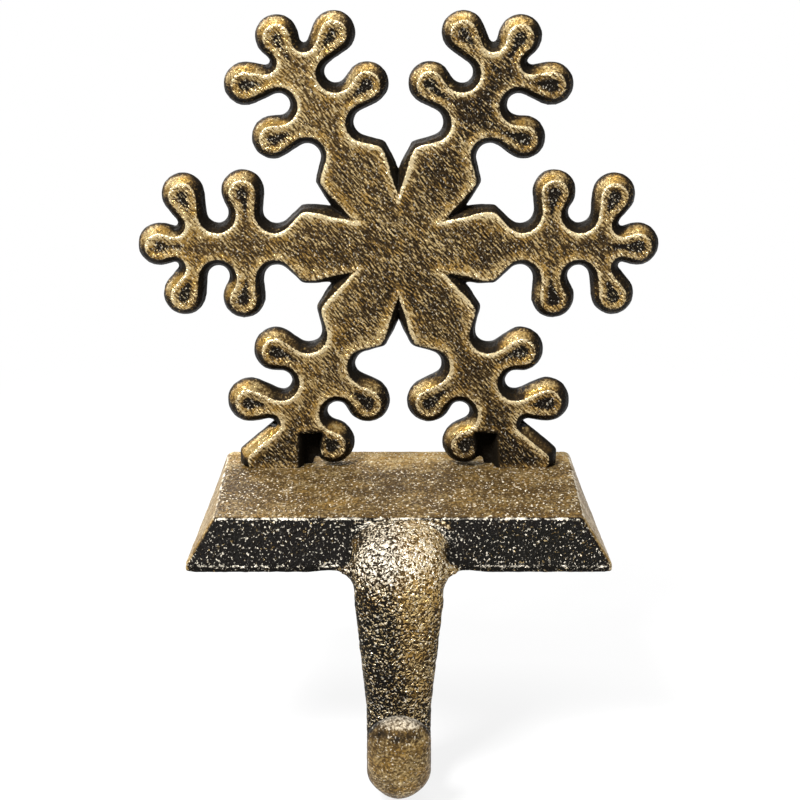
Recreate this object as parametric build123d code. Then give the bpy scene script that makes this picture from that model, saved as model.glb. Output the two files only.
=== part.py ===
from build123d import *
import os
from math import acos, asin, atan2, ceil, cos, degrees, pi, radians, sin

# Mantel stocking holder in cast iron, in millimetres.
# The frame: X to the right, the front with its hook towards -Y, Z up. The origin is the middle of the
# plate's footprint, on the plane where the plate rests on the shelf.

# Plate
plate_width = 98.0
plate_depth = 70.0
plate_height = 11.2
plate_back_taper = 3.0
plate_land = 1.5
bevel_run = 6.0
plate_corner_radius = 1.6
plate_edge_chamfer = 0.6

# Hollow under the plate
rim_width = 7.0
hollow_depth = 4.0
hollow_draft = 12.0
hollow_corner_radius = 5.0

# Hook: a J that leaves the plate's front bevel, drops in front of the shelf's edge and turns up into a lip
hook_root_width = 22.0
hook_shoulder_width = 21.2
hook_bend_width = 15.4
hook_lip_width = 14.8
hook_root_thickness = 9.4
hook_bend_thickness = 10.2
hook_lip_thickness = 9.6
hook_outer_swell = 0.5
hook_section_sides = 16
hook_shoulder_radius = 11.0
hook_bend_radius = 10.2
hook_drop = 47.6
hook_lip_rise = 1.4
hook_lip_dome = 4.6
hook_lip_crown_angle = 70.0
hook_root_inset = 0.3
shelf_edge_clearance = 0.8
hook_shoulder_steps = 4
hook_bend_steps = 8
hook_lip_steps = 3

# Snowflake: places are measured along an arm from the middle, and to the side of that arm.
# The two outer knobs beside the plate are set closer in, to clear it.
flake_thickness = 7.6
flake_parting = 3.8
flake_back_inset = 0.6
flake_round_at = 6.2
flake_round_inset = 1.1
flake_face_inset = 2.8
flake_back_margin = 8.4
knob_clearance = 0.3
arm_count = 6
end_knob_at = 57.8
outer_knob_at = 51.9
outer_knob_side = 12.2
plate_knob_at = 51.1
plate_knob_side = 10.8
inner_knob_at = 37.5
inner_knob_side = 13.0
end_knob_radius = 5.3
side_knob_radius = 5.3
outer_gap_at = 54.0
outer_gap_side = 5.2
outer_gap_radius = 0.8
middle_gap_at = 43.6
middle_gap_side = 7.8
middle_gap_radius = 2.6
inner_gap_at = 29.4
inner_gap_side = 8.3
inner_gap_radius = 3.2
shoulder_at = 23.3
shoulder_side = 9.7
notch_divergence = 6.0
# Round stretches are drawn in short chords, so that every drafted wall is flat
chord_angle = 18.0

# Feet: the two lower arms end in flat-cut feet in place of an end knob
foot_width = 18.2
foot_splay = 1.05
foot_toe_height = 3.8

# Fixing screws: machine screws from below, through the plate into the feet
screw_diameter = 4.0
screw_reach = 10.0
screw_head_diameter = 8.0
screw_head_height = 2.6
screw_head_bevel = 1.1
screw_cross_width = 1.0
screw_cross_span = 4.6
screw_cross_depth = 1.5
screw_hole_clearance = 0.5
tapped_hole_clearance = 0.1
tapped_hole_spare = 1.5
screw_outboard = 0.4

# Places that follow from the sizes above
plate_front_y = -plate_depth / 2
top_depth = plate_depth - 2 * bevel_run
arm_step = 360.0 / arm_count
half_step = radians(arm_step / 2)
plate_angle = 270.0
right_foot_angle = plate_angle + arm_step / 2
# The casting is widest at its parting plane, and each level is a height over the flat back and an inset there
flake_levels = (
    (0.0, flake_back_inset),
    (flake_parting, 0.0),
    (flake_round_at, flake_round_inset),
    (flake_thickness, flake_face_inset),
)
# The lowest knobs hang just clear of the plate, and this sets how high the middle stands on its feet
lowest_knob = plate_knob_at * cos(half_step) + plate_knob_side * sin(half_step) + side_knob_radius
flake_height = lowest_knob + knob_clearance
flake_back_y = top_depth / 2 - flake_back_margin
flake_plane = Plane((0, flake_back_y, plate_height + flake_height), x_dir=(1, 0, 0), z_dir=(0, -1, 0))
foot_arm_x = end_knob_at * sin(half_step)
screw_x = foot_arm_x + screw_outboard
screw_y = flake_back_y - flake_thickness / 2


def polar(radius, angle):
    """A vector of the given length at an angle in degrees."""
    return Vector(radius * cos(radians(angle)), radius * sin(radians(angle)))


def heading(start, end):
    """The direction in degrees from one point to another."""
    return degrees(atan2(end.Y - start.Y, end.X - start.X))


def leave_angle(knob, knob_radius, gap, gap_radius):
    """The angle on a knob where the straight side to the next gap leaves it."""
    return heading(knob, gap) - degrees(acos((knob_radius + gap_radius) / (gap - knob).length))


def enter_angle(gap, gap_radius, knob, knob_radius):
    """The angle on a gap where the straight side to the next knob leaves it."""
    return heading(gap, knob) + degrees(acos((knob_radius + gap_radius) / (knob - gap).length))


def arc_points(middle, radius, start_angle, end_angle, anticlockwise):
    """Points along an arc between two angles, both ends included."""
    turn = (end_angle - start_angle) % 360
    if not anticlockwise:
        turn -= 360
    chords = ceil(abs(turn) / chord_angle)
    return [middle + polar(radius, start_angle + turn * index / chords) for index in range(chords + 1)]


def half_arm(outer_knob, inset):
    """The points of one side of an arm, from its tip to the notch beside it, moved inwards by the inset."""
    knobs = (
        (Vector(end_knob_at, 0), end_knob_radius - inset),
        (outer_knob, side_knob_radius - inset),
        (Vector(inner_knob_at, inner_knob_side), side_knob_radius - inset),
    )
    gaps = (
        (Vector(outer_gap_at, outer_gap_side), outer_gap_radius + inset),
        (Vector(middle_gap_at, middle_gap_side), middle_gap_radius + inset),
        (Vector(inner_gap_at, inner_gap_side), inner_gap_radius + inset),
    )
    points = []
    knob_start = 0.0
    for index, (knob, gap) in enumerate(zip(knobs, gaps)):
        leave = leave_angle(*knob, *gap)
        points += arc_points(*knob, knob_start, leave, True)
        if index + 1 < len(knobs):
            gap_end = enter_angle(*gap, *knobs[index + 1])
        else:
            gap_end = shoulder_angle()
        points += arc_points(*gap, leave + 180, gap_end, False)
        knob_start = gap_end + 180
    return points + shoulder_points(inset)


def shoulder_angle():
    """The angle on the inner gap where the straight side to the shoulder leaves it."""
    gap = Vector(inner_gap_at, inner_gap_side)
    shoulder = Vector(shoulder_at, shoulder_side)
    return heading(gap, shoulder) + degrees(acos(inner_gap_radius / (shoulder - gap).length))


def shoulder_points(inset):
    """The shoulder's corner, and the notch where this arm meets the next one."""
    # Both normals point into the arm, and the corner moves in along their mitre
    side_normal = polar(1, shoulder_angle())
    notch_normal = polar(1, notch_divergence - 90)
    mitre = (side_normal + notch_normal) * (inset / (1 + side_normal.dot(notch_normal)))
    corner = Vector(shoulder_at, shoulder_side) + mitre
    notch_line = polar(1, notch_divergence)
    bisector_normal = polar(1, arm_step / 2 + 90)
    notch = corner - notch_line * (corner.dot(bisector_normal) / notch_line.dot(bisector_normal))
    return [corner, notch]


def flake_outline(inset):
    """The points of all the arms, each side of an arm drawn once and turned to its place."""
    points = []
    for index in range(arm_count):
        angle = index * arm_step
        for side in (-1, 1):
            if round(angle + side * arm_step / 2) == plate_angle:
                outer_knob = Vector(plate_knob_at, plate_knob_side)
            else:
                outer_knob = Vector(outer_knob_at, outer_knob_side)
            half = [Vector(point.X, side * point.Y) for point in half_arm(outer_knob, inset)]
            # The tip and the notch between two arms belong to the half that comes second
            points += [point.rotate(Axis.Z, angle) for point in (half if side > 0 else half[-2:0:-1])]
    return points


def foot_outline(inset):
    """The points of the right foot: a flat sole, an upright toe and a slope up to the arm's outer gap."""
    middle = foot_arm_x + foot_splay
    inner = middle - foot_width / 2 + inset
    outer = middle + foot_width / 2 - inset
    gap = Vector(outer_gap_at, outer_gap_side).rotate(Axis.Z, right_foot_angle)
    toe = Vector(middle + foot_width / 2, foot_toe_height - flake_height)
    slope_angle = heading(toe, gap) + degrees(asin(outer_gap_radius / (gap - toe).length))
    slope = polar(1, slope_angle)
    inset_toe = toe + polar(inset, slope_angle + 90)
    toe_corner = inset_toe + slope * ((outer - inset_toe.X) / slope.X)
    crest = toe_corner + slope * ((gap - toe_corner).length + outer_gap_radius)
    return [
        Vector(inner, -flake_height),
        Vector(outer, -flake_height),
        toe_corner,
        crest,
        Vector(inner, crest.Y),
    ]


def flat_face(points):
    """A flat face with straight edges through the points."""
    return Face(Wire.make_polygon(points, close=True))


def drafted(outline):
    """A solid with flat walls through an outline's levels, from the flat back to the smaller front face."""
    levels = [[Vector(point.X, point.Y, height) for point in outline(inset)] for height, inset in flake_levels]
    faces = [flat_face(levels[0]), flat_face(levels[-1])]
    for lower, upper in zip(levels, levels[1:]):
        for index in range(len(lower)):
            faces.append(flat_face([lower[index - 1], lower[index], upper[index], upper[index - 1]]))
    return Solid(Shell(faces))


def snowflake():
    """The ornament: drafted arms with their knobs, two feet and their tapped holes."""
    foot = drafted(foot_outline)
    flake = drafted(flake_outline) + foot + mirror(foot, about=Plane.YZ)
    # The feet are cut flat where they stand on the plate
    flake -= Pos(0, -flake_height, 0) * Box(
        plate_width,
        end_knob_radius,
        3 * flake_thickness,
        align=(Align.CENTER, Align.MAX, Align.CENTER),
    )
    flake = flake_plane * flake
    hole = Cylinder(
        (screw_diameter + tapped_hole_clearance) / 2,
        screw_reach + tapped_hole_spare,
        align=(Align.CENTER, Align.CENTER, Align.MIN),
    )
    for side in (-1, 1):
        flake -= Pos(side * screw_x, screw_y, plate_height) * hole
    return flake


def plate_outline(inset, taper):
    """The plate's outline with rounded corners, narrower at the back by the taper on each side."""
    front = plate_width / 2 - inset
    back = front - taper
    half_depth = plate_depth / 2 - inset
    corners = ((-front, -half_depth), (front, -half_depth), (back, half_depth), (-back, half_depth))
    outline = make_face(Polyline(*corners, close=True))
    return fillet(outline.vertices(), plate_corner_radius)


def plate():
    """The bevelled plate with a low upright land, softened corners and a hollow underside."""
    levels = (
        (0, 0, plate_back_taper),
        (plate_land, 0, plate_back_taper),
        (plate_height - plate_edge_chamfer, bevel_run, 0),
        (plate_height, bevel_run + plate_edge_chamfer, 0),
    )
    sections = [Pos(0, 0, height) * plate_outline(inset, taper) for height, inset, taper in levels]
    block = loft(sections, ruled=True)
    hollow = RectangleRounded(
        plate_width - 2 * rim_width,
        plate_depth - 2 * rim_width,
        hollow_corner_radius,
    )
    block -= extrude(hollow, hollow_depth, taper=hollow_draft)
    return block


def between(first, last, share):
    """The value at a share of the way from the first to the last."""
    return first + (last - first) * share


def hook_stations():
    """The hook's sections from the plate to the lip: place, direction, width, thickness and outer swell."""
    shank_y = plate_front_y - shelf_edge_clearance - hook_root_thickness / 2
    shoulder_y = shank_y + hook_shoulder_radius
    shoulder_z = plate_height - hook_root_inset - hook_root_thickness / 2 - hook_shoulder_radius
    bend_y = shank_y - hook_bend_radius
    bottom_swell = hook_outer_swell * sin(radians(45))
    bottom_thickness = between(hook_bend_thickness, hook_lip_thickness, 0.5)
    bend_z = hook_bend_radius + bottom_thickness / 2 * (1 + bottom_swell) - hook_drop
    stations = []
    for step in range(hook_shoulder_steps + 1):
        turn = radians(90 * step / hook_shoulder_steps)
        place = (0, shoulder_y - hook_shoulder_radius * sin(turn), shoulder_z + hook_shoulder_radius * cos(turn))
        width = between(hook_shoulder_width, hook_root_width, cos(turn) ** 2)
        stations.append((place, (0, -cos(turn), -sin(turn)), width, hook_root_thickness, 0))
    for step in range(hook_bend_steps + 1):
        share = step / hook_bend_steps
        turn = radians(180 * share)
        place = (0, bend_y + hook_bend_radius * cos(turn), bend_z - hook_bend_radius * sin(turn))
        width = between(hook_bend_width, hook_lip_width, share)
        thickness = between(hook_bend_thickness, hook_lip_thickness, share)
        swell = hook_outer_swell * sin(turn / 2)
        stations.append((place, (0, -sin(turn), -cos(turn)), width, thickness, swell))
    for step in range(hook_lip_steps + 1):
        turn = radians(hook_lip_crown_angle * step / hook_lip_steps)
        place = (0, bend_y - hook_bend_radius, bend_z + hook_lip_rise + hook_lip_dome * sin(turn))
        width = hook_lip_width * cos(turn)
        thickness = hook_lip_thickness * cos(turn)
        stations.append((place, (0, 0, 1), width, thickness, hook_outer_swell))
    return stations


def oval(width, thickness, swell):
    """An oval section drawn in short chords, its outer half deeper by a share of the thickness."""
    points = []
    for side in range(hook_section_sides):
        turn = 2 * pi * (side + 0.5) / hook_section_sides
        depth = thickness / 2 if sin(turn) > 0 else thickness / 2 * (1 + swell)
        points.append((width / 2 * cos(turn), depth * sin(turn)))
    return make_face(Polyline(*points, close=True))


def hook():
    """The hook lofted through its oval sections, cut back to clear the shelf."""
    sections = []
    for place, direction, *section in hook_stations():
        sections.append(Plane(place, x_dir=(1, 0, 0), z_dir=direction) * oval(*section))
    shelf = Pos(0, plate_front_y, 0) * Box(
        plate_width,
        plate_depth,
        hook_drop,
        align=(Align.CENTER, Align.MIN, Align.MAX),
    )
    return loft(sections, ruled=True) - shelf


def base_with_hook():
    """The plate and the hook as one casting, with two clearance holes for the screws."""
    casting = plate() + hook()
    hole = Cylinder((screw_diameter + screw_hole_clearance) / 2, 2 * plate_height)
    for side in (-1, 1):
        casting -= Pos(side * screw_x, screw_y, plate_height) * hole
    return casting


def fixing_screw():
    """One pan-head screw standing on its head's seat, with a cross recess."""
    head = Cylinder(
        screw_head_diameter / 2,
        screw_head_height,
        align=(Align.CENTER, Align.CENTER, Align.MAX),
    )
    head = chamfer(head.edges().sort_by(Axis.Z)[0], screw_head_bevel)
    shank = Cylinder(
        screw_diameter / 2,
        plate_height - hollow_depth + screw_reach,
        align=(Align.CENTER, Align.CENTER, Align.MIN),
    )
    screw = head + shank
    slot = Box(
        screw_cross_span,
        screw_cross_width,
        screw_cross_depth,
        align=(Align.CENTER, Align.CENTER, Align.MIN),
    )
    for angle in (0, 90):
        screw -= Pos(0, 0, -screw_head_height) * Rot(0, 0, angle) * slot
    return screw


def fixing_screws():
    """Both screws, as two separate solids."""
    screw = fixing_screw()
    return Compound([Pos(side * screw_x, screw_y, hollow_depth) * screw for side in (-1, 1)])


if __name__ == "__main__":
    os.makedirs("parts", exist_ok=True)
    export_step(base_with_hook(), "parts/base_with_hook.step")
    export_step(snowflake(), "parts/snowflake.step")
    export_step(fixing_screws(), "parts/fixing_screws.step")
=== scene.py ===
import math

import bmesh
import bpy
import numpy as np
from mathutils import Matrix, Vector, kdtree, noise


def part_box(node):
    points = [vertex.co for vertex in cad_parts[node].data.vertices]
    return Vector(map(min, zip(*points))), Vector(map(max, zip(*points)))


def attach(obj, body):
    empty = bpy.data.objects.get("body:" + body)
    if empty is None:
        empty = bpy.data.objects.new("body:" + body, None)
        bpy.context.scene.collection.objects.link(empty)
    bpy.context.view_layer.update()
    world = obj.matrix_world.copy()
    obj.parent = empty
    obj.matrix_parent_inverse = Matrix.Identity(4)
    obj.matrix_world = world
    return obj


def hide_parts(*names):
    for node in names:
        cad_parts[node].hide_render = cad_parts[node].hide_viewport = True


# Mantel stocking holder: two iron castings in an antique bronze finish, near black with gold brushed over
# what stands proud. Lengths are in metres, and the frame is the CAD model's.
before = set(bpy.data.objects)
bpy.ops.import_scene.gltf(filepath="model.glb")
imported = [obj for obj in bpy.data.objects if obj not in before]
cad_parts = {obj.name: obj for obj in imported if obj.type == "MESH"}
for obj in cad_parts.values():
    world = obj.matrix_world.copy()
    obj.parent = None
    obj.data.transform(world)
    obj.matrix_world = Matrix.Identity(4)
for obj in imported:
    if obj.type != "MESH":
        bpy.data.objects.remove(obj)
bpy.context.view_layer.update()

MM = 0.001

# Camera: a long lens in front of the holder and above it
CAMERA_PLACE = Vector((-0.64, -583.7, 180.1)) * MM
CAMERA_DOWN = 14.26
CAMERA_TURN = -0.095
CAMERA_LENS = 113.4
SENSOR = 36.0

# Places in the frame
flake_low, flake_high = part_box("snowflake")
base_low, base_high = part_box("base_with_hook")
FLAKE_FRONT = flake_low.y
ARM_REACH = flake_high.x
HUB_HEIGHT = 55.25 * MM
FLAKE_MIDDLE = Vector((0.0, 0.0, base_high.z + HUB_HEIGHT))
ARM_COUNT = 6
KNOB_RADIUS = 5.3 * MM
PARTING_DEPTH = 3.8 * MM
# Middle of the arm that has the least gold, from the snowflake's middle
DULL_AT = (20.0 * MM, 35.0 * MM)
DULL_SPREAD = 20.0 * MM
# Knobs of one arm, in millimetres: along it from the middle, and to its side
KNOBS = ((57.8, 0.0), (51.9, 12.2), (51.9, -12.2), (37.5, 13.0), (37.5, -13.0))
# Slots beside the feet, from the snowflake's middle line; their darkness is partly coat the brush can't
# reach and partly painted shade
SLOT_AT = 21.4 * MM
SLOT_DEPTH = 4.2 * MM
SLOT_HALF_WIDTH = (2.1 * MM, 2.9 * MM)
SLOT_HEIGHT = (8.0 * MM, 9.3 * MM)
PLATE_HALF_WIDTH = 49.0 * MM
PLATE_HALF_DEPTH = 35.0 * MM
PLATE_TAPER = 3.0 * MM
PLATE_TOP = base_high.z
PLATE_LAND = 1.5 * MM
BEVEL_RUN = 6.0 * MM
TOP_HALF_WIDTH = PLATE_HALF_WIDTH - BEVEL_RUN
TOP_HALF_DEPTH = PLATE_HALF_DEPTH - BEVEL_RUN
HOOK_HALF_WIDTH = 10.6 * MM
LIP_INNER = 56.0 * MM

# Small forms that the castings have over the solids.
# The snowflake's face reaches closer to the outline, and more so at the points round the hub
FACE_WIDENING = 0.5 * MM
HUB_WIDENING = 0.9 * MM
HUB_POINTS_AT = 23.3 * MM
HUB_POINTS_SPREAD = 5.0 * MM
# Its walls are fuller in the notches round the hub and on the lower arms
NOTCH_AT = 20.0 * MM
NOTCH_SPREAD = 4.0 * MM
NOTCH_FULLNESS = 0.45 * MM
LOWER_FULLNESS = 0.25 * MM
# Relief of its front, and of the cast skin
LINE_RISE = 0.24 * MM
FACE_DROP = 0.16 * MM
DISH_DROP = 0.20 * MM
LUMP_SIZE = 3.4 * MM
LUMP_RISE = 0.11 * MM
PEBBLE_SIZE = 1.4 * MM
PEBBLE_RISE = 0.06 * MM
BASE_LUMP_RISE = 0.08 * MM
BASE_PEBBLE_SIZE = 1.2 * MM
BASE_PEBBLE_RISE = 0.04 * MM
HAMMERED_RISE = 0.09 * MM
# The hook's bend and lip narrow by these shares over the last of their height
BEND_END = 8.0 * MM
BEND_NARROWING = 0.26
LIP_END = 4.0 * MM
LIP_NARROWING = 0.22
# Fillets between the hook's sides and the plate's front edge
FILLET_RADIUS = 4.2 * MM
FILLET_STEPS = 8
FILLET_INSIDE = 7.5 * MM
FILLET_BACK = -35.6 * MM
FILLET_FRONT = -38.2 * MM
FILLET_TOP = 3.0 * MM
FILLET_OVERLAP = 0.7 * MM

# Meshes: fine enough for the cast skin, and under the limit of triangles
VOXEL = 0.53 * MM
WELD = 1e-6
RIM_STEP = 0.2 * MM
# Rounds of smoothing: of all edges, of the widening's direction, of the hook, of its root, and to the form
# that relief is measured from
EDGE_ROUNDS = 2
DIRECTION_ROUNDS = 5
HOOK_ROUNDS = 18
ROOT_ROUNDS = 26
FORM_ROUNDS = 50
EDGE_SHARE = 0.5
FLOWING_SHARE = 0.9
SKIN_SEED = Vector((3.7, 11.3, 5.9))
# Towards the upper left, where the key light is: gold on walls and knobs that face this way is partly dry
# brushing from that side and partly painted light
KEY_LIGHT_AND_BRUSH_FROM = np.array((-0.42, -0.25, 0.87))

# Finish, in linear light
FLAKE_COAT = (0.0085, 0.0066, 0.0045)
BASE_COAT = (0.0062, 0.0056, 0.0048)
UMBER = (0.066, 0.039, 0.014)
DEEP_GOLD = (0.52, 0.31, 0.075)
GOLD = (0.68, 0.495, 0.22)
# CREAM and PALE_GOLD are bright worn metal and also the colour of painted highlights; CREAM also colours
# the specks
CREAM = (0.88, 0.80, 0.65)
PALE_GOLD = (0.88, 0.71, 0.41)
STEEL = (0.045, 0.044, 0.043)
WORN_STEEL = (0.10, 0.098, 0.095)
COAT_ROUGHNESS = 0.42
GOLD_ROUGHNESS = 0.26
COAT_SPECULAR = 0.03
GOLD_METALLIC = 0.75
STEEL_METALLIC = 0.9
STEEL_ROUGHNESS = (0.35, 0.55)
# Grain of the finish
# The grain's flanks that rise along this step take painted light
LIT_FLANK_STEP = (0.0, -0.12 * MM, 0.2 * MM)
STREAK_SIZE = 0.5 * MM
STREAK_LENGTH = 3.0
STREAK_SLANT = 48.0
FINE_SIZE = 0.6 * MM
PIT_SIZE = 0.8 * MM
SPOT_SIZE = 0.5 * MM
CLOUD_SIZE = 9.0 * MM
WARMTH_SIZE = 3.0 * MM
TURNING_SIZE = 0.9 * MM
BUMP_HEIGHT = 0.5 * MM
TURNING_HEIGHT = 0.1 * MM

# Studio: each softbox's name, place, size and watts
SOFTBOXES = (
    ("key", (-0.42, -0.62, 0.85), 0.32, 21.0),
    ("fill", (0.9, -0.7, 0.45), 0.8, 3.0),
    ("top", (0.05, 0.35, 1.1), 0.8, 8.0),
    ("back", (-0.5, 0.95, 0.55), 0.8, 9.0),
)
SOFTBOX_AIM = Vector((0.0, 0.0, 0.04))
WORLD_LIGHT = 0.22
FLOOR_HALF = 6.0
FLOOR_FRONT = -0.15
FLOOR_GAP = 0.6 * MM
FLOOR_COLOUR = (0.86, 0.86, 0.86, 1.0)
# The floor glows by these shares at these distances, so that it whitens away from the holder
FLOOR_WHITENS = (0.08, 0.4)
FLOOR_GLOW = (0.84, 1.0)
WHITE = (1.0, 1.0, 1.0, 1.0)


def smoothstep(low, high, value):
    """0 below low, 1 above high and an S curve between."""
    share = np.clip((value - low) / (high - low), 0.0, 1.0)
    return share * share * (3.0 - 2.0 * share)


def bell(offset, spread):
    """1 at no offset, falling off to 0 over about twice the spread."""
    return np.exp(-((offset / spread) ** 2))


def add_fillets(mesh):
    """Adds the fillets under the plate's front edge, as prisms that the even mesh joins to the rest."""
    side = HOOK_HALF_WIDTH - FILLET_OVERLAP
    outline = [(FILLET_INSIDE, -FILLET_RADIUS), (FILLET_INSIDE, FILLET_TOP), (side, FILLET_TOP)]
    outline.append((side + FILLET_RADIUS, 0.3 * PLATE_LAND))
    for step in range(FILLET_STEPS + 1):
        turn = 0.5 * math.pi * step / FILLET_STEPS
        x = side + FILLET_RADIUS * (1.0 - math.sin(turn))
        outline.append((x, -FILLET_RADIUS * (1.0 - math.cos(turn))))
    for hand in (-1.0, 1.0):
        back = [mesh.verts.new((hand * x, FILLET_BACK, z)) for x, z in outline]
        front = [mesh.verts.new((hand * x, FILLET_FRONT, z)) for x, z in outline]
        faces = [mesh.faces.new(back), mesh.faces.new(front)]
        for index in range(len(outline)):
            faces.append(mesh.faces.new((back[index - 1], back[index], front[index], front[index - 1])))
        bmesh.ops.recalc_face_normals(mesh, faces=faces)


def cast_mesh(node, name, add_more=None):
    """A new piece with the node's form, in an even mesh that can carry a cast skin."""
    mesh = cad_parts[node].data.copy()
    welded = bmesh.new()
    welded.from_mesh(mesh)
    bmesh.ops.remove_doubles(welded, verts=welded.verts, dist=WELD)
    if add_more:
        add_more(welded)
    welded.to_mesh(mesh)
    welded.free()
    mesh.materials.clear()
    source = bpy.data.objects.new(name + "_source", mesh)
    bpy.context.scene.collection.objects.link(source)
    remesh = source.modifiers.new("even", "REMESH")
    remesh.mode = "VOXEL"
    remesh.voxel_size = VOXEL
    remesh.use_smooth_shade = True
    graph = bpy.context.evaluated_depsgraph_get()
    even = bpy.data.meshes.new_from_object(source.evaluated_get(graph))
    bpy.data.objects.remove(source)
    even.name = name
    piece = bpy.data.objects.new(name, even)
    bpy.context.scene.collection.objects.link(piece)
    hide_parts(node)
    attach(piece, "root")
    return piece


class Surface:
    """The points of a mesh as arrays, with what the finish needs to know of them."""

    def __init__(self, mesh):
        self.mesh = mesh
        self.count = len(mesh.vertices)
        self.points = np.empty(self.count * 3, np.float32)
        mesh.vertices.foreach_get("co", self.points)
        self.points = self.points.reshape(-1, 3).astype(float)
        ends = np.empty(len(mesh.edges) * 2, np.int32)
        mesh.edges.foreach_get("vertices", ends)
        ends = ends.reshape(-1, 2)
        self.start = np.concatenate([ends[:, 0], ends[:, 1]])
        self.end = np.concatenate([ends[:, 1], ends[:, 0]])
        self.neighbours = np.maximum(np.bincount(self.start, minlength=self.count), 1)

    def averaged(self, values, rounds, share=1.0):
        """Values moved towards the mean of their neighbours, the given number of times."""
        values = values.copy()
        for _ in range(rounds):
            for column in range(values.shape[1]):
                total = np.bincount(self.start, values[self.end, column], self.count)
                values[:, column] += share * (total / self.neighbours - values[:, column])
        return values

    def store(self):
        """Writes the points back to the mesh."""
        self.mesh.vertices.foreach_set("co", self.points.astype(np.float32).ravel())
        self.mesh.update()

    def normals(self):
        """The normal at each point."""
        self.store()
        normals = np.empty(self.count * 3, np.float32)
        self.mesh.vertex_normals.foreach_get("vector", normals)
        return normals.reshape(-1, 3).astype(float)

    def proud(self, normals):
        """How far each point stands out from the smoothed form, in millimetres."""
        form = self.averaged(self.points, FORM_ROUNDS)
        return np.einsum("ij,ij->i", self.points - form, normals) / MM

    def paint(self, name, values):
        """Keeps one number for each point, for the material to read."""
        attribute = self.mesh.attributes.new(name, "FLOAT", "POINT")
        attribute.data.foreach_set("value", np.clip(values, -0.5, 1.0).astype(np.float32))

    def grain(self, size):
        """Smooth noise from -1 to 1 at each point, with lumps of about the given size."""
        return np.array([noise.noise(Vector(point) / size + SKIN_SEED) for point in self.points])

    def distance_to(self, targets):
        """How far each point is from the nearest target."""
        tree = kdtree.KDTree(len(targets))
        for index, target in enumerate(targets):
            tree.insert(target, index)
        tree.balance()
        return np.array([tree.find(Vector(point))[2] for point in self.points])

    def distance_to_lines(self, lines):
        """How far each point is from the nearest of a few straight lines."""
        nearest = np.full(self.count, 1.0)
        for first, last in lines:
            along = np.array(last) - np.array(first)
            share = np.clip((self.points - first) @ along / (along @ along), 0.0, 1.0)
            offset = self.points - first - share[:, None] * along
            nearest = np.minimum(nearest, np.linalg.norm(offset, axis=1))
        return nearest


def flat_rim(node, facing):
    """Points along the outline of the node's flat front, facing -1, or flat back, facing 1."""
    edges = bmesh.new()
    edges.from_mesh(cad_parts[node].data)
    bmesh.ops.remove_doubles(edges, verts=edges.verts, dist=WELD)
    edges.normal_update()
    points = []
    for edge in edges.edges:
        flats = [face for face in edge.link_faces if face.normal.y * facing > 0.99]
        if len(edge.link_faces) == 2 and len(flats) == 1:
            first, last = (vertex.co.copy() for vertex in edge.verts)
            steps = max(1, math.ceil((last - first).length / RIM_STEP))
            points += [first.lerp(last, step / steps) for step in range(steps + 1)]
    edges.free()
    return points


def knob_middles():
    """The middle of every knob, on the snowflake's front plane."""
    middles = []
    for arm in range(ARM_COUNT):
        turn = 2.0 * math.pi * arm / ARM_COUNT
        for along, side in KNOBS:
            in_foot = side == 0.0 and turn > math.pi
            if in_foot:
                continue
            x = along * math.cos(turn) - side * math.sin(turn)
            z = along * math.sin(turn) + side * math.cos(turn)
            middles.append(FLAKE_MIDDLE + Vector((x, 0.0, z)) * MM)
    return middles


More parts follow.
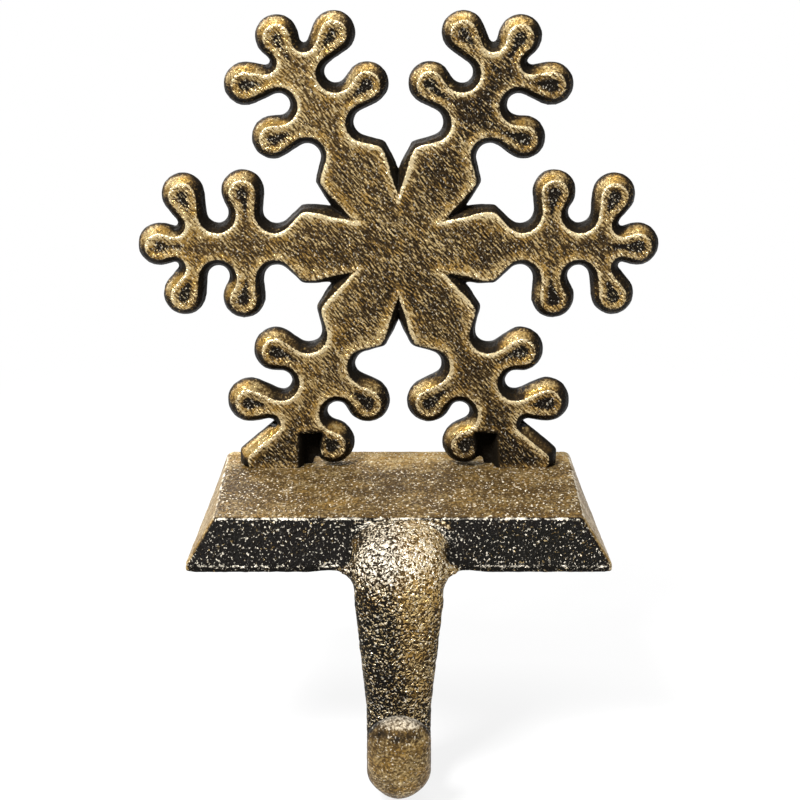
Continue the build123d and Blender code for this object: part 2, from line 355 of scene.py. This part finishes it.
def make_snowflake():
    """The snowflake's casting: soft edges, a raised rim round its front and dished knobs."""
    piece = cast_mesh("snowflake", "snowflake_casting")
    surface = Surface(piece.data)
    rim = surface.distance_to(flat_rim("snowflake", -1.0))
    back_rim = surface.distance_to(flat_rim("snowflake", 1.0))
    surface.points = surface.averaged(surface.points, EDGE_ROUNDS, EDGE_SHARE)
    normals = surface.normals()
    depth = surface.points[:, 1] - FLAKE_FRONT
    # The face reaches closer to the outline, most of all at the points round the hub
    sideways = surface.averaged(normals * (1.0, 0.0, 1.0), DIRECTION_ROUNDS)
    sideways /= np.maximum(np.linalg.norm(sideways, axis=1), 0.3)[:, None]
    from_middle = np.hypot(surface.points[:, 0], surface.points[:, 2] - FLAKE_MIDDLE.z)
    widening = FACE_WIDENING + HUB_WIDENING * bell(from_middle - HUB_POINTS_AT, HUB_POINTS_SPREAD)
    widening *= np.clip(1.0 - depth / PARTING_DEPTH, 0.0, 1.0) ** 2
    inside_rim = rim * smoothstep(1.2 * MM, 0.4 * MM, depth)
    widening *= 1.0 - smoothstep(0.6 * MM, 2.8 * MM, inside_rim)
    surface.points += sideways * widening[:, None]
    # The slot beside each foot opens wider in front
    above_plate = surface.points[:, 2] - PLATE_TOP
    slot_and_painted_shade = 1.0 - smoothstep(*SLOT_HALF_WIDTH, np.abs(np.abs(surface.points[:, 0]) - SLOT_AT))
    slot_and_painted_shade *= 1.0 - smoothstep(*SLOT_HEIGHT, above_plate)
    surface.points[:, 1] = np.maximum(surface.points[:, 1], FLAKE_FRONT + SLOT_DEPTH * slot_and_painted_shade)
    normals = surface.normals()
    proud = surface.proud(normals)
    flat = surface.points.copy()
    surface.points[:, 1] = 0.0
    to_knob = surface.distance_to(knob_middles()) / KNOB_RADIUS
    surface.points = flat
    knob = 1.0 - smoothstep(0.75, 1.25, to_knob)

    # Where each point lies: on which side, how it faces the brush and the key light, and how near to the
    # raised line
    front = smoothstep(0.80, 0.97, -normals[:, 1])
    back = smoothstep(0.7, 0.95, normals[:, 1])
    on_wall = 1.0 - front - back
    across = np.hypot(normals[:, 0], normals[:, 2])
    upward = (normals[:, 2] * 0.92 - normals[:, 0] * 0.38) / np.maximum(across, 0.05)
    lit = np.clip(normals @ KEY_LIGHT_AND_BRUSH_FROM, 0.0, 1.0)
    offset = surface.points - np.array(FLAKE_MIDDLE)
    hub = 1.0 - smoothstep(0.26 * ARM_REACH, 0.58 * ARM_REACH, np.hypot(offset[:, 0], offset[:, 2]))
    # Painted light: how far a point lies towards the upper left, the key light's side; arms there get more
    # gold and brighter flecks, and knob dishes away from it are darker
    toward_key_light = np.clip((0.6 * offset[:, 2] - 0.8 * offset[:, 0]) / ARM_REACH, -1.0, 1.0)
    line = 1.0 - smoothstep(0.15 * MM, 0.75 * MM, rim)
    near_line = 1.0 - smoothstep(0.4 * MM, 1.7 * MM, rim)
    dish_and_dark_reflection = front * knob * smoothstep(0.8 * MM, 2.0 * MM, rim)
    lumps = surface.grain(LUMP_SIZE)
    pebbles = surface.grain(PEBBLE_SIZE)

    # Relief: fuller walls, a raised line, dished knobs and the cast skin
    lower = smoothstep(-0.25 * ARM_REACH, -0.5 * ARM_REACH, offset[:, 2])
    fuller = LOWER_FULLNESS * lower + NOTCH_FULLNESS * bell(from_middle - NOTCH_AT, NOTCH_SPREAD)
    fuller *= on_wall * smoothstep(1.0 * MM, 6.0 * MM, above_plate)
    skin = LUMP_RISE * lumps + PEBBLE_RISE * pebbles
    lift = LINE_RISE * line - FACE_DROP * front * (1.0 - line) - DISH_DROP * dish_and_dark_reflection
    surface.points += normals * (lift + skin + fuller)[:, None]
    surface.store()

    # Gold, as shares of a full cover before the grain breaks it up: down the walls from the front, over
    # the face and rubbed on the back.
    # On the walls it is partly painted light: fuller on up-facing walls and slopes, and dark as painted
    # shade on sides turned from the key light
    # Painted light from above, partly brushing: up-facing walls take gold further down, and up-facing
    # lines are brighter
    brushed_and_lit_from_above = smoothstep(-0.5, 0.8, upward)
    ragged = depth / MM + 0.6 * lumps + 0.4 * pebbles
    reach = 1.0 - smoothstep(0.4 + 1.2 * brushed_and_lit_from_above, 1.8 + 2.6 * brushed_and_lit_from_above, ragged)
    foot = 1.0 - smoothstep(9.0 * MM, 14.0 * MM, above_plate)
    slope = foot * (1.0 - knob) * smoothstep(0.2, 0.6, upward)
    slope *= smoothstep(1.0 * MM, 2.5 * MM, above_plate)
    wall = 0.08 + 0.42 * knob * smoothstep(-0.05, 0.35, proud) + 0.55 * slope
    # Painted light and shade: walls that face the key light keep their gold, and those turned away from it
    # go dark
    wall *= reach * (0.1 + 0.9 * smoothstep(0.25, 0.9, lit))
    dull = bell(np.hypot(offset[:, 0] - DULL_AT[0], offset[:, 2] - DULL_AT[1]), DULL_SPREAD)
    face = 0.17 + 0.02 * (1.0 - hub) + 0.06 * toward_key_light + 0.24 * near_line
    face -= 0.11 * dull + 0.06 * foot
    # The knobs' dished middles lose gold, partly as coat the brush misses in the hollow and partly as a
    # painted dark reflection, darkest to the lower right as painted shade
    face -= dish_and_dark_reflection * np.clip(0.48 - 0.14 * toward_key_light + 0.40 * lumps, 0.0, 0.6)
    back_line = 1.0 - smoothstep(0.2 * MM, 1.0 * MM, back_rim)
    rubbed = 0.10 + 0.16 * surface.grain(11.0 * MM) + 0.22 * back_line
    gild = front * face + back * rubbed + on_wall * wall
    # The slots beside the feet lose their gold, partly as coat the brush can't reach and partly as painted
    # shade
    surface.paint("gild", gild - 0.6 * slot_and_painted_shade * (1.0 - back))
    # Bright metal on the worn line and in flecks over the face, brighter towards the key light and on
    # up-facing lines as painted light, and a painted highlight where the knobs catch the most light
    knob_highlight = 0.34 * knob * reach * smoothstep(0.84, 0.98, lit)
    flecks = 0.21 + 0.10 * np.clip(toward_key_light, 0.0, 1.0) - 0.03 * hub
    edges = line * (0.55 + 0.40 * brushed_and_lit_from_above) * (1.0 - 0.16 * knob)
    edges = np.maximum(edges, flecks * front)
    surface.paint("line", np.maximum(edges, knob_highlight) * (1.0 - slot_and_painted_shade))
    surface.paint("recess", smoothstep(0.05, 0.5, -proud))
    surface.paint("hammered", 0.16 + 0.24 * knob + 0.5 * back)
    surface.paint("streaks", front * (0.65 + 0.12 * hub))
    surface.paint("specks", 0.45 * front * (1.0 - slot_and_painted_shade) + 0.2 * back)
    surface.paint("calm", 0.15 * knob)
    return piece


def plate_lines():
    """The plate's upper outline and the four slanting edges of its bevel."""
    ring = (
        (-TOP_HALF_WIDTH, -TOP_HALF_DEPTH),
        (TOP_HALF_WIDTH, -TOP_HALF_DEPTH),
        (TOP_HALF_WIDTH, TOP_HALF_DEPTH),
        (-TOP_HALF_WIDTH, TOP_HALF_DEPTH),
    )
    lines = []
    for index, (x, y) in enumerate(ring):
        top = (x, y, PLATE_TOP)
        lines.append(((*ring[index - 1], PLATE_TOP), top))
        half_width = PLATE_HALF_WIDTH if y < 0.0 else PLATE_HALF_WIDTH - PLATE_TAPER
        low_x = math.copysign(half_width, x)
        low_y = math.copysign(PLATE_HALF_DEPTH, y)
        lines.append((top, (low_x, low_y, PLATE_LAND)))
    return lines


def land_lines():
    """The lower outline of the plate's bevel."""
    back = PLATE_HALF_WIDTH - PLATE_TAPER
    corners = (
        (-PLATE_HALF_WIDTH, -PLATE_HALF_DEPTH, PLATE_LAND),
        (PLATE_HALF_WIDTH, -PLATE_HALF_DEPTH, PLATE_LAND),
        (back, PLATE_HALF_DEPTH, PLATE_LAND),
        (-back, PLATE_HALF_DEPTH, PLATE_LAND),
    )
    return [(corners[index - 1], corners[index]) for index in range(len(corners))]


def make_base():
    """The plate and hook's casting: soft edges, a blended hook root and a hammered skin on the hook."""
    piece = cast_mesh("base_with_hook", "base_casting", add_fillets)
    surface = Surface(piece.data)
    x, y, z = surface.points.T
    rim = surface.distance_to_lines(plate_lines())
    land = surface.distance_to_lines(land_lines())
    # The hook's root flows into the bevel, and its facets into a round bar
    out_front = smoothstep(PLATE_HALF_DEPTH - 5.0 * MM, PLATE_HALF_DEPTH - 1.5 * MM, -y)
    near_hook = 1.0 - smoothstep(15.0 * MM, 21.0 * MM, np.abs(x))
    blend = out_front * near_hook
    softened = surface.averaged(surface.points, EDGE_ROUNDS, EDGE_SHARE)
    flowing = surface.averaged(surface.points, HOOK_ROUNDS, FLOWING_SHARE)
    surface.points = softened + blend[:, None] * (flowing - softened)
    melted = surface.averaged(flowing, ROOT_ROUNDS, FLOWING_SHARE)
    at_root = out_front * smoothstep(-5.0 * MM, 1.0 * MM, z)
    at_root *= 1.0 - smoothstep(12.0 * MM, 16.0 * MM, np.abs(x))
    surface.points += at_root[:, None] * (melted - surface.points)
    # The bend and the top of the lip narrow to rounded ends
    x, y, z = surface.points.T
    under_bend = np.clip((base_low.z + BEND_END - z) / BEND_END, 0.0, 1.0)
    lip_top = z[-y > LIP_INNER].max()
    over_lip = np.clip((z - lip_top + LIP_END) / LIP_END, 0.0, 1.0) * (-y > LIP_INNER - 2.0 * MM)
    surface.points[:, 0] *= 1.0 - BEND_NARROWING * under_bend**2 - LIP_NARROWING * over_lip**2
    normals = surface.normals()
    proud = surface.proud(normals)

    # Where each point lies: on the hook and its lip, on the plate's top, on a bevel or on an edge
    past_edge = smoothstep(TOP_HALF_DEPTH - 0.6 * MM, TOP_HALF_DEPTH + 0.6 * MM, -y)
    ragged = np.abs(x) + 1.8 * MM * surface.grain(4.5 * MM)
    in_width = 1.0 - smoothstep(HOOK_HALF_WIDTH - 3.5 * MM, HOOK_HALF_WIDTH + 4.0 * MM, ragged)
    clear_of_plate = smoothstep(PLATE_HALF_DEPTH - 0.3 * MM, PLATE_HALF_DEPTH + 1.5 * MM, -y)
    on_hook = np.maximum(clear_of_plate, past_edge * in_width)
    lip = smoothstep(LIP_INNER - 3.0 * MM, LIP_INNER + 1.0 * MM, -y)
    on_top = smoothstep(0.75, 0.95, normals[:, 2])
    on_top *= smoothstep(PLATE_TOP - 1.0 * MM, PLATE_TOP - 0.3 * MM, z)
    plate_only = (1.0 - on_hook) * (1.0 - on_top)
    long_bevel = plate_only * smoothstep(0.3, 0.7, np.abs(normals[:, 1]))
    side_bevel = plate_only * smoothstep(0.3, 0.7, np.abs(normals[:, 0]))
    line = 1.0 - smoothstep(0.35 * MM, 1.0 * MM, rim)
    low_line = 1.0 - smoothstep(0.15 * MM, 0.7 * MM, land)
    shoulder = on_hook * smoothstep(-8.0 * MM, 2.0 * MM, z)

    # Relief: the cast skin, hammered on the hook and on the front and back bevels
    hammered = on_hook * (1.0 - 0.85 * lip) + 0.55 * long_bevel
    skin = BASE_LUMP_RISE * surface.grain(LUMP_SIZE)
    skin += (BASE_PEBBLE_RISE + HAMMERED_RISE * hammered) * surface.grain(BASE_PEBBLE_SIZE)
    surface.points += normals * skin[:, None]
    surface.store()

    # Gold, as shares of a full cover: most on the hook's right side and lip, and on the plate's top and
    # side bevels; part of it is painted light, reflection and shade, as noted below
    right_side = smoothstep(-3.0 * MM, 4.0 * MM, x)
    # Partly painted light: the hook's gold is fuller where it faces front and up and on its shoulder, and
    # the lip's where it faces front
    outward = np.clip(-normals[:, 1] * 0.8 + normals[:, 2] * 0.6, 0.0, 1.0)
    low = smoothstep(-18.0 * MM, -34.0 * MM, z)
    shank = (0.01 + (0.29 - 0.21 * low) * right_side + 0.17 * shoulder) * (0.3 + 0.7 * outward)
    # Painted shade: a dark band across the lip just under its top
    lip_band_shade = bell(z - lip_top + 2.6 * MM, 1.1 * MM) * (0.5 + 0.9 * surface.grain(2.6 * MM))
    tip = 0.25 * (0.35 + 0.65 * smoothstep(-0.3, 0.4, -normals[:, 1])) - 0.2 * lip_band_shade
    gild = on_hook * (shank * (1.0 - lip) + tip * lip)
    # Painted reflection: the plate's top gets more gold towards the back, standing for the bright backdrop
    # that it reflects there
    back_reflection_share = smoothstep(0.2 * PLATE_HALF_DEPTH, PLATE_HALF_DEPTH, y)
    gild = np.maximum(gild, on_top * (0.25 + 0.30 * back_reflection_share))
    gild = np.maximum(gild, 0.40 * side_bevel)
    surface.paint("gild", gild - 0.08 * long_bevel)
    # Bright metal on the plate's worn edges, and painted highlights on the hook's shoulder and the top of
    # its lip
    patches = surface.grain(2.2 * MM)
    edges = line * (0.62 + 0.5 * patches)
    edges = np.maximum(edges, (0.45 + 0.5 * patches) * low_line * (1.0 - on_hook))
    shoulder_highlight = 0.52 * on_hook * smoothstep(-7.0 * MM, 3.0 * MM, z) * outward
    lip_top_highlight = 0.5 * lip * smoothstep(0.55, 0.9, normals[:, 2])
    bright = np.maximum.reduce((edges, 0.14 * on_hook, shoulder_highlight, lip_top_highlight))
    surface.paint("line", bright)
    surface.paint("recess", smoothstep(0.05, 0.5, -proud))
    surface.paint("hammered", hammered)
    surface.paint("streaks", np.zeros(surface.count))
    surface.paint("calm", 0.15 * lip)
    surface.paint("specks", 0.62 * long_bevel + on_top + (0.6 + 0.4 * shoulder - 0.1 * lip) * on_hook)
    return piece


class Shader:
    """A material's nodes, added one at a time."""

    def __init__(self, name):
        self.material = bpy.data.materials.new(name)
        self.material.use_nodes = True
        self.tree = self.material.node_tree
        self.tree.nodes.clear()

    def node(self, kind, inputs=None, **settings):
        """Adds a node. An input is a value, or another node's output."""
        made = self.tree.nodes.new(kind)
        for key, value in settings.items():
            setattr(made, key, value)
        for key, value in (inputs or {}).items():
            if isinstance(value, bpy.types.NodeSocket):
                self.tree.links.new(value, made.inputs[key])
            else:
                made.inputs[key].default_value = value
        return made

    def math(self, operation, first, second=0.0):
        """One step of arithmetic."""
        return self.node("ShaderNodeMath", {0: first, 1: second}, operation=operation).outputs[0]

    def add(self, *terms):
        """The sum of each value times its weight."""
        total = None
        for value, weight in terms:
            part = self.math("MULTIPLY", value, weight)
            total = part if total is None else self.math("ADD", total, part)
        return total

    def ramp(self, value, low, high, floor=0.0, ceiling=1.0):
        """A value from floor to ceiling as the input goes from low to high."""
        made = self.node(
            "ShaderNodeMapRange",
            {"Value": value, "From Min": low, "From Max": high, "To Min": floor, "To Max": ceiling},
            interpolation_type="SMOOTHSTEP",
        )
        return made.outputs["Result"]

    def mix(self, share, first, second):
        """A colour between two others."""
        made = self.node("ShaderNodeMix", {0: share}, data_type="RGBA")
        for index, value in ((6, first), (7, second)):
            if isinstance(value, bpy.types.NodeSocket):
                self.tree.links.new(value, made.inputs[index])
            else:
                made.inputs[index].default_value = (*value, 1.0)
        return made.outputs[2]

    def attribute(self, name):
        """A number kept on the mesh."""
        return self.node("ShaderNodeAttribute", attribute_name=name).outputs["Fac"]

    def grain(self, place, size, detail, rough=0.5, twist=0.0):
        """Noise about zero, with lumps of about the given size."""
        made = self.node(
            "ShaderNodeTexNoise",
            {
                "Vector": place,
                "Scale": 1.0 / size,
                "Detail": detail,
                "Roughness": rough,
                "Distortion": twist,
            },
        )
        return self.math("SUBTRACT", made.outputs["Fac"], 0.5)

    def grain_and_lit_flanks(self, place, size, detail, rough, twist=0.0):
        """Noise, and how far it rises towards the top: painted light on the grain's flanks that face up,
        as well as what a brush drawn down over it would leave its paint on.
        """
        above = self.node("ShaderNodeVectorMath", {0: place, 1: LIT_FLANK_STEP}, operation="ADD").outputs[0]
        here = self.grain(place, size, detail, rough, twist)
        return here, self.math("SUBTRACT", here, self.grain(above, size, detail, rough, twist))

    def finish(self, inputs):
        """The surface shader and the output."""
        surface = self.node("ShaderNodeBsdfPrincipled", inputs)
        self.node("ShaderNodeOutputMaterial", {"Surface": surface.outputs[0]})
        return self.material


def bronzed_iron(name, coat, bright):
    """Near-black coat with gold brushed on: fullest on what stands proud, broken by the grain; the gold
    and bright metal also carry painted light, shade and highlights.
    """
    shader = Shader(name)
    place = shader.node("ShaderNodeTexCoord").outputs["Object"]
    gild = shader.attribute("gild")
    line = shader.attribute("line")
    recess = shader.attribute("recess")
    hammered = shader.attribute("hammered")
    streaks = shader.attribute("streaks")
    specks = shader.attribute("specks")
    calm = shader.attribute("calm")

    # Grain: brush streaks at a slant, fine grain drawn out from front to back, and pits, with painted
    # light on the flanks of streaks and pits that face up
    slant = math.radians(STREAK_SLANT)
    slanted = shader.node(
        "ShaderNodeMapping",
        {"Vector": place, "Rotation": (0.0, slant, 0.0), "Scale": (STREAK_LENGTH, 1.0, 1.0)},
        vector_type="TEXTURE",
    ).outputs["Vector"]
    drawn = shader.node(
        "ShaderNodeMapping",
        {"Vector": place, "Scale": (1.0, 2.0, 1.0)},
        vector_type="TEXTURE",
    ).outputs["Vector"]
    fine = shader.grain(drawn, FINE_SIZE, 2.0, 0.5)
    brushed, streak_lit_flanks = shader.grain_and_lit_flanks(slanted, STREAK_SIZE, 1.0, 0.45)
    pitted, pit_lit_flanks = shader.grain_and_lit_flanks(place, PIT_SIZE, 2.0, 0.45, 0.9)
    brushed = shader.math("MULTIPLY", brushed, streaks)
    streak_lit_flanks = shader.math("MULTIPLY", streak_lit_flanks, streaks)
    pitted = shader.math("MULTIPLY", pitted, hammered)
    pit_lit_flanks = shader.math("MULTIPLY", pit_lit_flanks, hammered)
    cloud = shader.grain(place, CLOUD_SIZE, 2.0)
    warmth = shader.grain(place, WARMTH_SIZE, 2.0)
    spots = shader.grain(drawn, SPOT_SIZE, 1.0)

    # Covers: stain under gold leaf, bright metal and painted highlights over both, and specks over all
    broken = shader.add(
        (fine, 0.7),
        (brushed, 0.5),
        (streak_lit_flanks, 1.7),
        (pitted, 0.9),
        (pit_lit_flanks, 2.2),
        (cloud, 0.4),
    )
    broken = shader.math("MULTIPLY", broken, shader.ramp(calm, 0.0, 1.0, 1.0, 0.15))
    worn = shader.add((gild, 1.0), (recess, -0.5), (broken, 1.0))
    leaf = shader.ramp(worn, 0.14, 0.72)
    stain = shader.ramp(shader.add((gild, 1.0), (recess, -0.3), (broken, 0.3)), 0.0, 0.30)
    glint = shader.ramp(shader.add((line, 1.0), (broken, 0.8)), 0.38, 0.83)
    spot = shader.math("MULTIPLY", shader.ramp(shader.add((spots, 1.0), (fine, 0.4)), 0.12, 0.27), specks)

    colour = shader.mix(stain, coat, UMBER)
    tint = shader.ramp(shader.add((warmth, 1.0), (broken, 0.25)), -0.12, 0.14)
    colour = shader.mix(leaf, colour, shader.mix(tint, DEEP_GOLD, GOLD))
    colour = shader.mix(glint, colour, bright)
    colour = shader.mix(spot, colour, CREAM)
    metal = shader.math("MULTIPLY", shader.math("MAXIMUM", leaf, glint), GOLD_METALLIC)
    height = shader.add((fine, 0.4), (pitted, 1.5), (brushed, 1.5))
    height = shader.math("MULTIPLY", height, shader.ramp(calm, 0.0, 1.0, 1.0, 0.2))
    bump = shader.node("ShaderNodeBump", {"Height": height, "Strength": 1.0, "Distance": BUMP_HEIGHT})
    return shader.finish(
        {
            "Base Color": colour,
            "Metallic": metal,
            "Roughness": shader.ramp(leaf, 0.0, 1.0, COAT_ROUGHNESS, GOLD_ROUGHNESS),
            "Specular IOR Level": COAT_SPECULAR,
            "Normal": bump.outputs["Normal"],
        }
    )


def blackened_steel():
    """The screws: dark steel with fine turning marks."""
    shader = Shader("blackened_steel")
    place = shader.node("ShaderNodeTexCoord").outputs["Object"]
    turned = shader.grain(place, TURNING_SIZE, 4.0)
    colour = shader.mix(shader.ramp(turned, -0.15, 0.2), STEEL, WORN_STEEL)
    bump = shader.node("ShaderNodeBump", {"Height": turned, "Strength": 0.3, "Distance": TURNING_HEIGHT})
    return shader.finish(
        {
            "Base Color": colour,
            "Metallic": STEEL_METALLIC,
            "Roughness": shader.ramp(turned, -0.2, 0.2, *STEEL_ROUGHNESS),
            "Normal": bump.outputs["Normal"],
        }
    )


def make_floor():
    """A wide white floor under the hook, which keeps the holder's shadow and whitens away from it."""
    height = base_low.z - FLOOR_GAP
    mesh = bpy.data.meshes.new("floor")
    corners = [
        (-FLOOR_HALF, FLOOR_FRONT, height),
        (FLOOR_HALF, FLOOR_FRONT, height),
        (FLOOR_HALF, FLOOR_HALF, height),
        (-FLOOR_HALF, FLOOR_HALF, height),
    ]
    mesh.from_pydata(corners, [], [(0, 1, 2, 3)])
    floor = bpy.data.objects.new("floor", mesh)
    bpy.context.scene.collection.objects.link(floor)
    shader = Shader("floor_white")
    place = shader.node("ShaderNodeTexCoord").outputs["Object"]
    away = shader.node("ShaderNodeVectorMath", {0: place}, operation="LENGTH").outputs["Value"]
    rays = shader.node("ShaderNodeLightPath").outputs
    seen = shader.math("MAXIMUM", rays["Is Camera Ray"], rays["Is Glossy Ray"])
    seen = shader.math("MAXIMUM", seen, rays["Is Transmission Ray"])
    matt = shader.node("ShaderNodeBsdfDiffuse", {"Color": FLOOR_COLOUR})
    glow = shader.node("ShaderNodeEmission", {"Color": WHITE, "Strength": 1.0})
    share = shader.math("MULTIPLY", seen, shader.ramp(away, *FLOOR_WHITENS, *FLOOR_GLOW))
    both = shader.node("ShaderNodeMixShader", {0: share, 1: matt.outputs[0], 2: glow.outputs[0]})
    shader.node("ShaderNodeOutputMaterial", {"Surface": both.outputs[0]})
    mesh.materials.append(shader.material)


def make_world():
    """A soft white surround, at full white where the camera sees it."""
    world = bpy.data.worlds.new("studio")
    bpy.context.scene.world = world
    world.use_nodes = True
    tree = world.node_tree
    tree.nodes.clear()
    rays = tree.nodes.new("ShaderNodeLightPath")
    soft = tree.nodes.new("ShaderNodeBackground")
    soft.inputs["Color"].default_value = WHITE
    soft.inputs["Strength"].default_value = WORLD_LIGHT
    white = tree.nodes.new("ShaderNodeBackground")
    white.inputs["Color"].default_value = WHITE
    white.inputs["Strength"].default_value = 1.0
    both = tree.nodes.new("ShaderNodeMixShader")
    output = tree.nodes.new("ShaderNodeOutputWorld")
    tree.links.new(rays.outputs["Is Camera Ray"], both.inputs[0])
    tree.links.new(soft.outputs[0], both.inputs[1])
    tree.links.new(white.outputs[0], both.inputs[2])
    tree.links.new(both.outputs[0], output.inputs["Surface"])


def softbox(name, place, size, watts):
    """A square area light aimed at the holder's middle."""
    data = bpy.data.lights.new(name, "AREA")
    data.shape = "SQUARE"
    data.size = size
    data.energy = watts
    lamp = bpy.data.objects.new(name, data)
    lamp.location = place
    aim = SOFTBOX_AIM - Vector(place)
    lamp.rotation_mode = "QUATERNION"
    lamp.rotation_quaternion = aim.to_track_quat("-Z", "Y")
    bpy.context.scene.collection.objects.link(lamp)


def make_camera():
    """The photograph's viewpoint."""
    data = bpy.data.cameras.new("camera")
    data.lens = CAMERA_LENS
    data.sensor_width = SENSOR
    data.clip_start = 0.01
    data.clip_end = 50.0
    camera = bpy.data.objects.new("camera", data)
    camera.location = CAMERA_PLACE
    camera.rotation_euler = (math.radians(90.0 - CAMERA_DOWN), 0.0, math.radians(CAMERA_TURN))
    bpy.context.scene.collection.objects.link(camera)
    bpy.context.scene.camera = camera


snowflake = make_snowflake()
snowflake.data.materials.append(bronzed_iron("bronzed_iron_flake", FLAKE_COAT, PALE_GOLD))
base = make_base()
base.data.materials.append(bronzed_iron("bronzed_iron_base", BASE_COAT, CREAM))
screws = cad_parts["fixing_screws"]
screws.data.materials.clear()
screws.data.materials.append(blackened_steel())

make_floor()
make_world()
for name, place, size, watts in SOFTBOXES:
    softbox(name, place, size, watts)
make_camera()
bpy.context.scene.view_settings.view_transform = "Standard"
